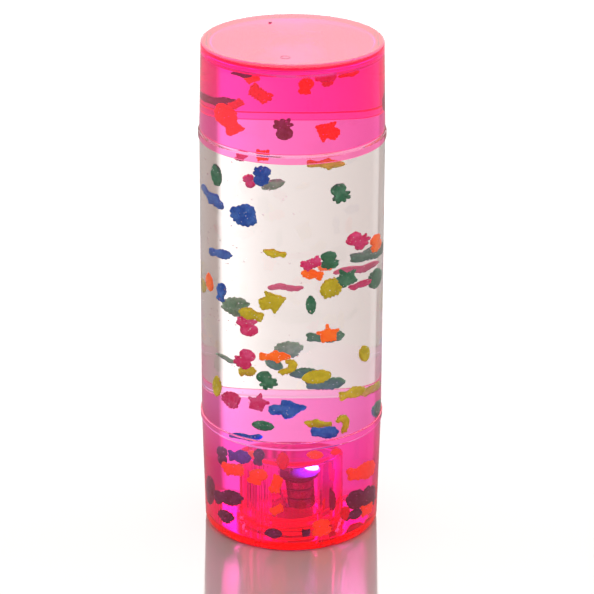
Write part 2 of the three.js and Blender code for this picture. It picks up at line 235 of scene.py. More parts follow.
def pink_plastic(name, density):
    """Dyed plastic whose emission is painted light: a faint glow that changes with height, painted
    stronger on its left where the softbox falls, brightest on its top face and corner as a painted
    highlight, and violet near the lamp as painted lamp light. Each face carries how strongly it
    bends light, by what it touches. Weld teeth ring the top and draw marks run up the pocket."""
    material = fresh_material(name)
    tree = material.node_tree
    touch = add(tree, "ShaderNodeAttribute", {"attribute_name": "bend"}).outputs["Fac"]
    rub = ramp(tree, grain(tree, 1000, 4.0, 0.7), 0.62, 0.8, 0.0, 0.04)
    x, y, z = axes(tree)
    out = maths(tree, "SQRT", plus(tree, times(tree, x, x), times(tree, y, y)))
    leftward = ramp(tree, x, 4, -14)

    teeth = maths(tree, "SINE", times(tree, maths(tree, "ARCTAN2", x, y), TEETH))
    by_top = band(tree, z, (TOP - 3.6, TOP - 3.2), (TOP - 0.7, TOP - 1.0))
    drawn = add(tree, "ShaderNodeVectorMath", {"operation": "MULTIPLY"}, i0=place(tree), i1=(1.0, 1.0, 0.03))
    marks = add(tree, "ShaderNodeTexNoise", Vector=drawn.outputs[0], Scale=700.0, Detail=2.0).outputs["Fac"]
    pocket_wall = band(tree, out, (POCKET_OUTER + 0.6, POCKET_OUTER + 0.3), (POCKET_R - 0.6, POCKET_R - 0.3))
    below_roof = ramp(tree, z, POCKET_ROOF - 1, POCKET_ROOF - 2)
    marks = times(tree, marks, pocket_wall, below_roof, ramp(tree, x, -1, -4.5))
    uneven = plus(tree, grain(tree, 60, 1.0), times(tree, teeth, by_top, 0.12), times(tree, marks, 9.0))

    # Painted light: the glow is painted stronger on the left side, where the softbox falls.
    high_left = times(tree, leftward, ramp(tree, z, TOP - 3, TOP - 5))
    painted_light = mixed(tree, high_left, (0.100, 0.001, 0.006, 1.0), (0.100, 0.018, 0.022, 1.0))
    low_painted_light = mixed(tree, leftward, (0.060, 0.012, 0.030, 1.0), (0.070, 0.036, 0.060, 1.0))
    foot_painted_light = mixed(tree, leftward, (0.045, 0.003, 0.007, 1.0), (0.050, 0.006, 0.012, 1.0))
    # Painted light by height: the lower cap, its foot, the top, a painted highlight on the top face and
    # corner, and the base.
    for start, end, zone_painted_light in (
        (60, 40, low_painted_light),
        (30, 21, foot_painted_light),
        (TOP - 4, TOP - 3, (0.100, 0.003, 0.045, 1.0)),
        (TOP - 0.5, TOP - 0.1, (0.190, 0.014, 0.038, 1.0)),
        (4, 2, (0.095, 0.001, 0.001, 1.0)),
    ):
        painted_light = mixed(tree, ramp(tree, z, start, end), painted_light, zone_painted_light)
    # Painted violet lamp light on the plastic near the lamp.
    low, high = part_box("led_lamp")
    near = ramp(tree, away_from(tree, (low + high) / 2), 8 * MM, 3 * MM, 0.0, 0.75)
    painted_light = mixed(tree, near, painted_light, (0.12, 0.006, 0.22, 1.0))

    at_lip = times(tree, band(tree, z, (60, 70), (UPPER_SHOULDER + 0.2, UPPER_SHOULDER - 0.1)),
                   ramp(tree, out, STEP_R - 0.2, STEP_R + 0.1))
    body = mixed(tree, at_lip, (1.0, 0.985, 0.99, 1.0), (1.0, 0.66, 0.84, 1.0))
    shader = add(tree, "ShaderNodeBsdfPrincipled", Base_Color=body, IOR=touch,
                 Transmission_Weight=1.0, Roughness=rub, Normal=bump(tree, uneven, 0.0002, 0.4),
                 Emission_Color=painted_light, Emission_Strength=1.0)
    volume = add(tree, "ShaderNodeVolumeAbsorption", Color=PINK_DYE, Density=density)
    return finish_with(material, shader, volume)


def clear_liquid(name, ior):
    """The liquid, barely rippled where it has a surface of its own."""
    material = fresh_material(name)
    tree = material.node_tree
    shader = add(tree, "ShaderNodeBsdfPrincipled", Base_Color=(1.0, 1.0, 1.0, 1.0), IOR=ior,
                 Transmission_Weight=1.0, Roughness=0.0)
    if ior != JOINED:
        ripple = bump(tree, grain(tree, 120, 1.0), 0.0004, 0.3)
        tree.links.new(ripple, shader.inputs["Normal"])
    return finish_with(material, shader)


# Each soft dye's deep and light colour
DYES = {
    "orange": ((1.0, 0.125, 0.006), (1.0, 0.20, 0.015)),
    "amber": ((1.0, 0.30, 0.005), (1.0, 0.40, 0.02)),
    "red": ((0.90, 0.070, 0.010), (1.0, 0.12, 0.03)),
    "yellow": ((0.60, 0.47, 0.008), (0.78, 0.63, 0.03)),
    "green": ((0.027, 0.18, 0.082), (0.095, 0.285, 0.16)),
    "greygreen": ((0.16, 0.31, 0.19), (0.33, 0.46, 0.33)),
    "teal": ((0.095, 0.23, 0.165), (0.21, 0.36, 0.28)),
    "blue": ((0.010, 0.085, 0.45), (0.06, 0.20, 0.62)),
    "magenta": ((0.76, 0.018, 0.135), (0.87, 0.10, 0.29)),
}
PAINTED_DYE_GLOW = {"orange": (1.0, 0.12, 0.01, 1.0), "amber": (1.0, 0.45, 0.01, 1.0)}


def vinyl(dye):
    """Soft moulded vinyl: mottled dye, pale glitter specks and a faintly pitted skin. Pieces
    further back are painted paler, a painted haze. The orange dyes, which are fluorescent, get a painted
    glow: a fixed emission that brightens them."""
    deep, light = DYES[dye]
    material = fresh_material(f"{dye}_vinyl_soft")
    tree = material.node_tree
    clouds = ramp(tree, grain(tree, 420, 4.0, 0.6), 0.35, 0.72)
    colour = mixed(tree, clouds, (*deep, 1.0), (*light, 1.0))
    cells = add(tree, "ShaderNodeTexVoronoi", Vector=place(tree), Scale=1500.0).outputs["Distance"]
    sparse = ramp(tree, grain(tree, 700, 2.0), 0.52, 0.6)
    specks = times(tree, ramp(tree, cells, 0.24, 0.12), sparse)
    colour = mixed(tree, specks, colour, (0.80, 0.84, 0.84, 1.0))
    _, depth, _ = axes(tree)
    # Painted haze: pieces further back are painted paler, towards a pale copy of their dye.
    pale = [0.55 * part + 0.27 for part in light]
    haziness = 0.5 if dye == "magenta" else 0.3
    colour = mixed(tree, ramp(tree, depth, -5, 11, 0.0, haziness), colour, (*pale, 1.0))
    skin = bump(tree, grain(tree, 2600, 3.0, 0.6), 0.00012, 0.5)
    shader = add(tree, "ShaderNodeBsdfPrincipled", Base_Color=colour,
                 Roughness=ramp(tree, clouds, 0.0, 1.0, 0.42, 0.6), Specular_IOR_Level=0.08, Normal=skin)
    # Painted glow: a fixed emission on the orange dyes that brightens them as painted light.
    if dye in PAINTED_DYE_GLOW:
        shader.inputs["Emission Color"].default_value = PAINTED_DYE_GLOW[dye]
        shader.inputs["Emission Strength"].default_value = 0.22
    return finish_with(material, shader)


def steel(name, light, dark):
    """Stained, finely brushed steel."""
    material = fresh_material(name)
    tree = material.node_tree
    stain = ramp(tree, grain(tree, 500, 5.0, 0.65), 0.35, 0.7)
    colour = mixed(tree, stain, (*dark, 1.0), (*light, 1.0))
    brushed = add(tree, "ShaderNodeTexNoise", Vector=place(tree), Scale=3000.0, Detail=2.0).outputs["Fac"]
    shader = add(tree, "ShaderNodeBsdfPrincipled", Base_Color=colour, Metallic=1.0,
                 Roughness=ramp(tree, stain, 0.0, 1.0, 0.38, 0.24), Normal=bump(tree, brushed, 0.00004, 0.4))
    return finish_with(material, shader)


def board_material():
    """Lacquered board, lit violet on top by the lamp that stands on it."""
    material = fresh_material("board_lacquer")
    tree = material.node_tree
    weave = ramp(tree, grain(tree, 2400, 2.0), 0.4, 0.65)
    colour = mixed(tree, weave, (0.018, 0.105, 0.045, 1.0), (0.035, 0.17, 0.07, 1.0))
    low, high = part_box("led_lamp")
    foot = ((low.x + high.x) / 2, (low.y + high.y) / 2, low.z)
    facing = add(tree, "ShaderNodeNewGeometry").outputs["Normal"]
    up = add(tree, "ShaderNodeSeparateXYZ", Vector=facing).outputs["Z"]
    near = ramp(tree, away_from(tree, foot), 6.4 * MM, 2 * MM, 0.0, 3.6)
    lit = times(tree, near, ramp(tree, weave, 0, 1, 0.7, 1.0), ramp(tree, up, 0.5, 0.8))
    shader = add(tree, "ShaderNodeBsdfPrincipled", Base_Color=colour,
                 Roughness=ramp(tree, weave, 0, 1, 0.3, 0.45), Normal=bump(tree, weave, 0.00005, 0.4),
                 Emission_Color=(0.17, 0.10, 1.0, 1.0), Emission_Strength=lit)
    return finish_with(material, shader)


def epoxy_material():
    """The black drop over the lamp's controller."""
    material = fresh_material("black_epoxy")
    tree = material.node_tree
    mottle = grain(tree, 1400, 3.0)
    colour = mixed(tree, mottle, (0.008, 0.008, 0.009, 1.0), (0.025, 0.024, 0.025, 1.0))
    shader = add(tree, "ShaderNodeBsdfPrincipled", Base_Color=colour,
                 Roughness=ramp(tree, mottle, 0.3, 0.7, 0.22, 0.4), Normal=bump(tree, mottle, 0.0001, 0.5))
    return finish_with(material, shader)


def lamp_material():
    """A lit violet lens, white where the chip shines through it. It throws less light on matt and
    shiny things and through many walls than it shows."""
    material = fresh_material("lit_lens")
    tree = material.node_tree
    low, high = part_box("led_lamp")
    _, _, z = axes(tree)
    base, tall = low.z / MM, (high.z - low.z) / MM
    rise = ramp(tree, z, base + 0.12 * tall, base + 0.62 * tall)
    mottle = ramp(tree, grain(tree, 900, 2.0), 0.3, 0.7, 0.8, 1.0)
    colour = mixed(tree, rise, (0.20, 0.07, 1.0, 1.0), (0.9, 1.0, 1.0, 1.0))
    path = add(tree, "ShaderNodeLightPath").outputs
    power = times(tree, ramp(tree, rise, 0.1, 0.9, 2.5, 70.0), mottle,
                  ramp(tree, path["Diffuse Depth"], 0.0, 1.0, 1.0, 0.05),
                  ramp(tree, path["Glossy Depth"], 0.0, 1.0, 1.0, 0.15),
                  ramp(tree, path["Transmission Depth"], 6.2, 8.0, 1.0, 0.12))
    shader = add(tree, "ShaderNodeBsdfPrincipled", Base_Color=(0.35, 0.25, 0.9, 1.0), Roughness=0.12,
                 Emission_Color=colour, Emission_Strength=power)
    return finish_with(material, shader)


def backdrop_level(tree, rise):
    """The backdrop is dimmer towards the floor, whose shine is stronger at low angles to match."""
    return ramp(tree, rise, 0.28, 0.45, 0.6, 1.0, smooth=False)


def floor_material():
    """A pale floor with a shine that draws reflections out towards the front, sharper through the
    tube than in open air."""
    material = fresh_material("studio_floor")
    tree = material.node_tree
    mottle = grain(tree, 6, 2.0)
    colour = mixed(tree, mottle, (0.272, 0.205, 0.184, 1.0), (0.287, 0.217, 0.195, 1.0))
    # Painted shade: the floor seen through the tube is painted up to a tenth darker.
    through = add(tree, "ShaderNodeLightPath").outputs["Transmission Depth"]
    colour = mixed(tree, ramp(tree, through, 0, 1, 0.0, 0.10), colour, (0.0, 0.0, 0.0, 1.0))
    matt = add(tree, "ShaderNodeBsdfDiffuse", Color=colour)
    facing = add(tree, "ShaderNodeLayerWeight", Blend=0.5).outputs["Facing"]
    shine = maths(tree, "DIVIDE", FLOOR_SHINE, backdrop_level(tree, maths(tree, "SUBTRACT", 1.0, facing)))
    brushed = add(tree, "ShaderNodeCombineXYZ", X=1.0).outputs[0]
    gloss = add(tree, "ShaderNodeBsdfGlossy", Color=shine, Roughness=ramp(tree, through, 0, 1, 0.09, 0.03),
                Anisotropy=0.92, Tangent=brushed)
    both = add(tree, "ShaderNodeAddShader", i0=matt.outputs[0], i1=gloss.outputs[0])
    return finish_with(material, both)


# ------------------------------------------------------------------ pieces


def new_piece(name, verts, faces, materials, smooth=True):
    """A mesh piece in the scene, from places in metres."""
    mesh = bpy.data.meshes.new(name)
    mesh.from_pydata(verts, [], faces)
    for material in materials:
        mesh.materials.append(material)
    mesh.polygons.foreach_set("use_smooth", [smooth] * len(faces))
    piece = bpy.data.objects.new(name, mesh)
    bpy.context.scene.collection.objects.link(piece)
    return piece


def stand_for(piece, node, body):
    """The piece takes the place of a node of the frame and rides on its body."""
    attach(piece, body)
    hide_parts(node)


# ------------------------------------------------------------------ turned shells


def stations(points, closed):
    """Places along a turned piece's half outline, run anticlockwise round the solid, with the
    outward direction before and after each and the finish of the face after it. A point is
    (radius, height, corner radius, finish of the line that ends there)."""
    count = len(points)
    spots = [Vector(p[:2]) for p in points]
    lines = [(spots[(i + 1) % count] - spots[i]).normalized() for i in range(count)]
    outward = [Vector((d.y, -d.x)) for d in lines]
    finishes = [points[(i + 1) % count][3] for i in range(count)]
    found = []
    for i, spot in enumerate(spots):
        if not closed and i in (0, count - 1):
            only = outward[0] if i == 0 else outward[-2]
            found.append((spot, only, only, finishes[i]))
            continue
        before, after, corner = outward[i - 1], outward[i], points[i][2]
        turn = math.atan2(before.cross(after), before.dot(after))
        if not corner:
            found.append((spot, before, after, finishes[i]))
            continue
        reach = corner * math.tan(abs(turn) / 2)
        side = math.copysign(corner, turn)
        centre = spot - lines[i - 1] * reach - before * side
        steps = max(3, round(abs(turn) / math.radians(12)))
        for k in range(steps + 1):
            way = Matrix.Rotation(turn * k / steps, 2) @ before
            kind = finishes[i] if k == steps else finishes[i - 1]
            found.append((centre + way * side, way, way, kind))
    return found


def turn_piece(name, points, finishes, closed=False, sides=SIDES, centre=Matrix.Identity(4)):
    """A smooth closed solid turned about Z from a half outline, with exact shading directions, and
    each face's finish. finishes lists the materials, by the numbers that the points give."""
    rows = stations(points, closed)
    verts, ring_at = [], []
    for spot, *_ in rows:
        ring_at.append(len(verts))
        on_axis = spot.x < 1e-6
        for k in range(1 if on_axis else sides):
            angle = 2 * math.pi * k / sides
            verts.append(centre @ Vector((spot.x * math.cos(angle), spot.x * math.sin(angle), spot.y)) * MM)
    faces, normals, kinds = [], [], []
    spans = len(rows) if closed else len(rows) - 1
    for j in range(spans):
        (a, _, way_a, kind), (b, way_b, _, _) = rows[j], rows[(j + 1) % len(rows)]
        start_a, start_b = ring_at[j], ring_at[(j + 1) % len(rows)]
        for k in range(sides):
            here, there = k, (k + 1) % sides
            corners = []
            if a.x < 1e-6:
                corners.append((start_a, here, way_a))
            else:
                corners += [(start_a + here, here, way_a), (start_a + there, there, way_a)]
            if b.x < 1e-6:
                corners.append((start_b, here, way_b))
            else:
                corners += [(start_b + there, there, way_b), (start_b + here, here, way_b)]
            faces.append([c[0] for c in corners])
            kinds.append(kind)
            for _, step, way in corners:
                angle = 2 * math.pi * step / sides
                normals.append(Vector((way.x * math.cos(angle), way.x * math.sin(angle), way.y)))
    piece = new_piece(name, verts, faces, finishes)
    piece.data.polygons.foreach_set("material_index", kinds if len(finishes) > 1 else [0] * len(faces))
    piece.data.normals_split_custom_set([centre.to_3x3() @ n for n in normals])
    return piece, kinds


def carry_bend(piece, kinds, bends):
    """Writes on each face how strongly it bends light, which one dyed material then reads."""
    bend = piece.data.attributes.new("bend", "FLOAT", "FACE")
    bend.data.foreach_set("value", [bends[kind] for kind in kinds])


def make_barrel():
    """The clear tube, stepped at both ends where the caps' lips lap over it."""
    low, high = LOWER_SHOULDER + SKIN, UPPER_SHOULDER - SKIN
    step = STEP_R - SKIN
    points = [
        (BARREL_INNER, low, 0, LIQUID), (step, low, 0, WELD),
        (step, LOWER_RIM + SKIN, 0, WELD), (BARREL_R, LOWER_RIM + SKIN, 0, WELD),
        (BARREL_R, UPPER_RIM - SKIN, 0, AIR), (step, UPPER_RIM - SKIN, 0, WELD),
        (step, high, 0, WELD), (BARREL_INNER, high, 0, WELD),
    ]
    kinds = [plastic("barrel_air", DRY), plastic("barrel_liquid", WET), plastic("barrel_weld", JOINED)]
    piece, _ = turn_piece("barrel_shell", points, kinds, closed=True)
    return piece


def make_lower_cap(dyed):
    """The lower cap, whose floor is moulded up into the lamp's air pocket."""
    points = [
        (0, POCKET_ROOF - POCKET_WALL, 0, AIR), (POCKET_R, POCKET_ROOF - POCKET_WALL, 0.5, AIR),
        (POCKET_R, 0, 0.25, AIR), (LOWER_END_R, 0, LOWER_CORNER, AIR),
        (BARREL_R, LOWER_SHOULDER, 0.5, AIR), (LIP_R, LOWER_SHOULDER + 0.45, 0.5, AIR),
        (LIP_R, LOWER_RIM, 0.32, AIR), (BARREL_R, LOWER_RIM, 0, AIR), (STEP_R, LOWER_RIM, 0, WELD),
        (STEP_R, LOWER_SHOULDER, 0, WELD), (BARREL_INNER, LOWER_SHOULDER, 0, WELD),
        (CAP_INNER, LOWER_SHOULDER, 0.2, LIQUID), (LOWER_INNER, CAP_WALL, INNER_CORNER, LIQUID),
        (POCKET_OUTER, CAP_WALL, 0.6, LIQUID), (POCKET_OUTER, POCKET_ROOF, POCKET_CORNER, LIQUID),
        (0, POCKET_ROOF, 0, LIQUID),
    ]
    piece, kinds = turn_piece("lower_cap_shell", points, [dyed])
    carry_bend(piece, kinds, BENDS)
    return piece


def make_upper_cap(dyed):
    """The upper cap, with a thin layer of air under its ceiling."""
    points = [
        (0, CEILING, 0, AIR), (UPPER_INNER, CEILING, 1.7, AIR), (WET_WALL, WET_TO, 0, AIR),
        (CAP_INNER, UPPER_SHOULDER, 0.2, LIQUID), (BARREL_INNER, UPPER_SHOULDER, 0, LIQUID),
        (STEP_R, UPPER_SHOULDER, 0, WELD), (STEP_R, UPPER_RIM, 0, WELD), (BARREL_R, UPPER_RIM, 0, WELD),
        (LIP_R, UPPER_RIM, 0.32, AIR), (LIP_R, UPPER_SHOULDER - 0.45, 0.5, AIR),
        (BARREL_R, UPPER_SHOULDER, 0.5, AIR), (UPPER_END_R, TOP, UPPER_CORNER, AIR), (0, TOP, 0, AIR),
    ]
    piece, kinds = turn_piece("upper_cap_shell", points, [dyed])
    carry_bend(piece, kinds, BENDS)
    return piece


def make_plug(dyed):
    """The disc that closes the pocket, with a low boss under the cells."""
    points = [
        (0, PLUG_LOW, 0, AIR), (PLUG_R, PLUG_LOW, 0.2, AIR), (PLUG_R, PLUG_LOW + PLUG_T, 0.15, AIR),
        (BOSS_R, PLUG_LOW + PLUG_T, 0.1, AIR), (BOSS_R, PLUG_LOW + PLUG_T + BOSS_H, 0.15, AIR),
        (0, PLUG_LOW + PLUG_T + BOSS_H, 0, AIR),
    ]
    piece, kinds = turn_piece("base_plug_moulding", points, [dyed], sides=96)
    carry_bend(piece, kinds, BENDS)
    return piece


def make_liquid():
    """One body of liquid that touches every wall. It creeps up the wall at its surface."""
    skin, surface = 0, 1
    wall_at = WET_WALL - SKIN
    meniscus = []
    for angle in (20, 45, 70, 90):
        along, drop = 1 - math.cos(math.radians(angle)), math.sin(math.radians(angle))
        meniscus.append((wall_at - 1.6 * along - SKIN, WET_TO - MENISCUS * drop, 0, surface))
    points = [
        (0, POCKET_ROOF + SKIN, 0, skin), (POCKET_OUTER + SKIN, POCKET_ROOF + SKIN, POCKET_CORNER, skin),
        (POCKET_OUTER + SKIN, CAP_WALL + SKIN, 0.6, skin),
        (LOWER_INNER - SKIN, CAP_WALL + SKIN, INNER_CORNER, skin),
        (CAP_INNER - SKIN, LOWER_SHOULDER, 0.2, skin), (BARREL_INNER - SKIN, LOWER_SHOULDER, 0, skin),
        (BARREL_INNER - SKIN, UPPER_SHOULDER, 0, skin), (CAP_INNER - SKIN, UPPER_SHOULDER, 0.2, skin),
        (wall_at, WET_TO, 0, skin), *meniscus, (0, WATERLINE, 0, surface),
    ]
    kinds = [clear_liquid("liquid_skin", JOINED), clear_liquid("liquid_surface", LIQUID_IOR)]
    piece, _ = turn_piece("liquid", points, kinds)
    return piece


# ------------------------------------------------------------------ soft pieces


def soft_nodes():
    """The CAD nodes of the soft pieces, which each ride on a body of their own name."""
    bodies = frame["record"]["behaviour"]["bodies"]
    return [body for body, nodes in bodies.items() if nodes == [body] and body != "shake_coil"]


def upright(mesh):
    """A piece's middle, and the turn about Z that its flat side has from facing -Y."""
    spots = np.array([v.co for v in mesh.vertices])
    middle = spots.mean(0)
    flat = np.cov((spots - middle)[:, :2].T)
    thin = np.linalg.eigh(flat)[1][:, 0]
    turn = math.atan2(thin[0], -thin[1])
    if abs(turn) > math.pi / 2:
        turn -= math.copysign(math.pi, turn)
    return Vector(middle), turn


def rounded(mesh, name, kind, head):
    """The soft moulded form of a flat cut CAD piece."""
    piece = bpy.data.objects.new(name, mesh.copy())
    bpy.context.scene.collection.objects.link(piece)
    remesh = piece.modifiers.new("remesh", "REMESH")
    remesh.mode = "VOXEL"
    remesh.voxel_size = VOXEL * MM
    relax = piece.modifiers.new("relax", "SMOOTH")
    relax.factor = 0.5
    relax.iterations = 4
    depsgraph = bpy.context.evaluated_depsgraph_get()
    soft = bpy.data.meshes.new_from_object(piece.evaluated_get(depsgraph))
    piece.modifiers.clear()
    piece.data = soft
    soft.polygons.foreach_set("use_smooth", [True] * len(soft.polygons))
    dent(soft, kind, head)
    return piece


# How each kind's rim is knobbed: how many knobs, and how far they stand out in mm
RIMS = {
    "angelfish": (19, 0.15), "arrowfish": (23, 0.12), "crab": (13, 0.32), "dolphin": (11, 0.12),
    "eel": (19, 0.10), "fish": (17, 0.16), "leaf": (15, 0.12), "octopus": (11, 0.36),
    "seahorse": (17, 0.22), "shell": (15, 0.24), "star": (15, 0.14), "whale": (13, 0.18),
}

# The octopuses' rolls in degrees, which say where their round heads are
HEADS = {
    "green_octopus_1": 190, "green_octopus_2": 20, "green_octopus_3": 8, "green_octopus_4": 30,
    "blue_octopus_1": 175, "magenta_octopus_1": 50, "magenta_octopus_2": 195, "magenta_octopus_3": -28,
}


def dent(mesh, kind, head):
    """Moulded relief: a knobbed rim, fans of ribs on shells, and uneven skin on all."""
    middle, turn = upright(mesh)
    back = Matrix.Rotation(-turn, 3, "Z")
    knobs, depth = RIMS[kind]
    for vertex in mesh.vertices:
        local = back @ (vertex.co - middle) / MM
        way = back @ vertex.normal
        rim = 1 - abs(way.y)
        lump = SWELL + 0.15 * noise.noise(vertex.co / MM * 0.8) + 0.13 * noise.noise(vertex.co / MM * 1.9)
        bearing = math.atan2(local.z, local.x)
        knob = math.cos(knobs * bearing)
        if head is not None:
            nape = math.cos(bearing - math.radians(90 + head))
            knob = knob * (1 - min(1, max(0, 0.5 + 1.5 * nape))) + 0.5 * max(0, nape)
        lump += rim * depth * knob
        if kind == "shell":
            lump += (1 - rim) * 0.14 * math.cos(22 * math.atan2(local.x, local.z + 3.2))
        vertex.co += vertex.normal * lump * MM


# ------------------------------------------------------------------ more soft pieces

# More of the same pieces than the frame carries, so they stay where they hang: dye, kind, then
# where [across, deep, high], how large [wide, high], the roll in its own plane and the turn
# about Z in degrees
MORE = [
    ("orange", "crab", (-8, -1, 131), (3.4, 3.6), 20, 0),
    ("orange", "fish", (3, -12, 131.6), (3.8, 4.8), 80, 0),
    ("red", "octopus", (6, 8, 128), (2.5, 3), 30, 20),
    ("magenta", "whale", (7.6, -10.5, 133.6), (5.2, 3), 0, 10),
    ("green", "leaf", (-5.2, -10, 134.6), (4.8, 1.7), 88, 0),
    ("green", "eel", (-12, -14, 134.8), (6, 1.3), 0, -38),
    ("red", "eel", (13.5, -13, 134.7), (6.4, 1.4), 0, 42),
    ("red", "crab", (-10.4, 4.6, 122.2), (3.2, 3.2), 40, 0),
    ("magenta", "fish", (-9, 8, 107), (2.5, 3), 70, 0),
    ("orange", "crab", (-6, -2, 110), (3, 3.4), 0, 0),
    ("green", "leaf", (19.2, 4, 121.5), (2.6, 5.5), 5, 60),
    ("magenta", "octopus", (-9.5, -7.5, 104), (3, 4), 200, 0),
    ("orange", "octopus", (18.2, 0, 83), (4.5, 5.3), 15, 60),
    ("orange", "crab", (6, 8, 75), (2.8, 1.8), 0, 0),
    ("magenta", "fish", (14, 0.5, 71.5), (5.3, 2.6), 25, 10),
    ("yellow", "leaf", (-17, 6, 68), (2.3, 4.2), 0, -40),
    ("green", "leaf", (4.4, -10, 69.6), (2.5, 5.6), 4, 0),
    ("yellow", "leaf", (17, -6, 53), (3.4, 5.1), 8, 40),
    ("greygreen", "eel", (-12, 5, 48), (4.6, 2.4), -30, 0),
    ("green", "leaf", (-3, 10, 46), (3.2, 3.6), 30, 0),
    ("yellow", "fish", (-9, 0, 46.5), (3.9, 3.4), 8, 0),
    ("green", "leaf", (2, 11, 43), (5, 3.4), 95, 0),
    ("yellow", "leaf", (-17.5, -6, 43), (3.1, 6.4), -4, -45),
    ("yellow", "crab", (14, 8, 37), (4.3, 3.6), 20, 0),
    ("green", "leaf", (-7, -14, 35), (5.7, 3.1), 80, 0),
    ("green", "leaf", (17, 6, 31), (4, 5.6), 10, 45),
    ("yellow", "seahorse", (12.5, -11, 34.5), (3.8, 5.8), 20, 20),
    ("blue", "eel", (-9.5, -2.5, 27.5), (7.5, 2.3), 0, 0),
    ("green", "octopus", (-16.6, -7.5, 22.8), (3.4, 5.8), 185, -25),
    ("green", "fish", (-8.3, -17.8, 26.8), (3.2, 5.4), 80, -20),
    ("red", "leaf", (-2.1, -19.8, 26.6), (3.4, 5.4), 0, 0),
    ("amber", "fish", (-9.8, -11, 25.2), (2.6, 2.8), 30, -20),
    ("amber", "leaf", (6, -19.5, 28.2), (4.5, 2.7), 80, 10),
    ("orange", "leaf", (11.2, -16.8, 27.9), (2.8, 1.9), 90, 32),
    ("amber", "crab", (-14.6, -13, 20.8), (7.6, 5), 15, -40),
    ("amber", "fish", (-8.7, -17.8, 20.8), (6, 5.2), 70, -25),
    ("amber", "crab", (-3.9, -19.8, 19.4), (4, 6), 70, -8),
    ("amber", "crab", (-3.7, -20, 11.7), (3.8, 4), 30, -5),
    ("amber", "whale", (15, 1, 14.9), (7.4, 5.8), 5, 0),
    ("green", "octopus", (14.9, 2, 6.2), (8, 7.2), 90, 0),
    ("green", "fish", (14.6, -7, 4.7), (5, 3.7), 0, 20),
    ("amber", "crab", (17.9, -4.2, 4.4), (4.6, 3.8), 0, 35),
    ("red", "shell", (13.4, -12.6, 7.4), (3, 4.4), 10, 38),
    ("green", "leaf", (-16.6, 3.4, 7.2), (4.6, 9), -4, 40),
    ("green", "fish", (-14.8, -6, 9.4), (8.4, 5.6), 10, -15),
    ("green", "shell", (-16, -9.2, 4.6), (5.4, 4.2), 0, -28),
    ("amber", "octopus", (8, -18.5, 5.4), (5.8, 5.4), 5, 22),
    ("green", "leaf", (-4.7, -19.7, 4.3), (4.8, 3.2), 88, -10),
    ("green", "crab", (3.9, -20, 4.6), (2.4, 2.6), 0, 8),
]

# The piece that gives each kind its form, with the roll that it has
FORMS = {
    "angelfish": ("yellow_angelfish_1", 20),
    "crab": ("magenta_crab_1", 25),
    "dolphin": ("orange_dolphin_1", 2),
    "eel": ("magenta_eel_1", 6),
    "fish": ("blue_fish_1", 0),
    "leaf": ("green_leaf_2", -5),
    "octopus": ("green_octopus_3", 8),
    "seahorse": ("yellow_seahorse_1", -30),
    "shell": ("greygreen_shell_2", 10),
    "whale": ("green_whale_2", 0),
}


def rolled(spots, degrees):
    """Turned in the upright plane, from +X towards +Z."""
    c, s = math.cos(math.radians(degrees)), math.sin(math.radians(degrees))
    x, y, z = spots.T
    return np.column_stack((c * x - s * z, y, s * x + c * z))


def turned(spots, degrees):
    """Turned about Z, from +X towards +Y."""
    c, s = math.cos(math.radians(degrees)), math.sin(math.radians(degrees))
    x, y, z = spots.T
    return np.column_stack((c * x - s * y, s * x + c * y, z))


def upright_form(softened, kind):
    """The vertices and faces of a kind of soft piece, flat side to -Y and not rolled."""
    node, roll = FORMS[kind]
    mesh = softened[node].data
    middle, turn = upright(mesh)
    spots = np.array([v.co for v in mesh.vertices]) - np.array(middle)
    return rolled(turned(spots, -math.degrees(turn)), -roll), [tuple(f.vertices) for f in mesh.polygons]


def make_more(softened, vinyls):
    """The pieces that stay where they hang, joined by dye."""
    forms = {kind: upright_form(softened, kind) for kind in FORMS}
    for dye in DYES:
        verts, faces = [], []
        for _, kind, at, (wide, high), roll, turn in (row for row in MORE if row[0] == dye):
            spots, sides = forms[kind]
            spots = rolled(spots, roll)
            span = np.ptp(spots, axis=0) / MM
            spots = spots * (wide / span[0], 1.0, high / span[2])
            spots = turned(spots, turn) + np.array(at) * MM
            faces += [tuple(len(verts) + i for i in side) for side in sides]
            verts += spots.tolist()
        if not verts:
            continue
        piece = new_piece(f"{dye}_shoal", verts, faces, [vinyls[dye]])
        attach(piece, "tube")


# ------------------------------------------------------------------ small details


def scatter_balls(name, spots, material):
    """Small round bodies in one mesh, from (place, radius) in mm."""
    ball = bmesh.new()
    bmesh.ops.create_icosphere(ball, subdivisions=2, radius=1.0)
    form = [v.co.copy() for v in ball.verts]
    sides = [[v.index for v in f.verts] for f in ball.faces]
    ball.free()
    verts, faces = [], []
    for at, radius in spots:
        faces += [[len(verts) + i for i in side] for side in sides]
        verts += [(Vector(at) + v * radius) * MM for v in form]
    piece = new_piece(name, verts, faces, [material])
    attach(piece, "tube")


def bubble_material():
    """Air inside the liquid."""
    material = fresh_material("bubble")
    tree = material.node_tree
    ripple = bump(tree, grain(tree, 3000, 1.0), 0.00002, 0.2)
    shader = add(tree, "ShaderNodeBsdfPrincipled", Base_Color=(1.0, 1.0, 1.0, 1.0), IOR=1 / LIQUID_IOR,
                 Transmission_Weight=1.0, Roughness=0.0, Normal=ripple)
    return finish_with(material, shader)


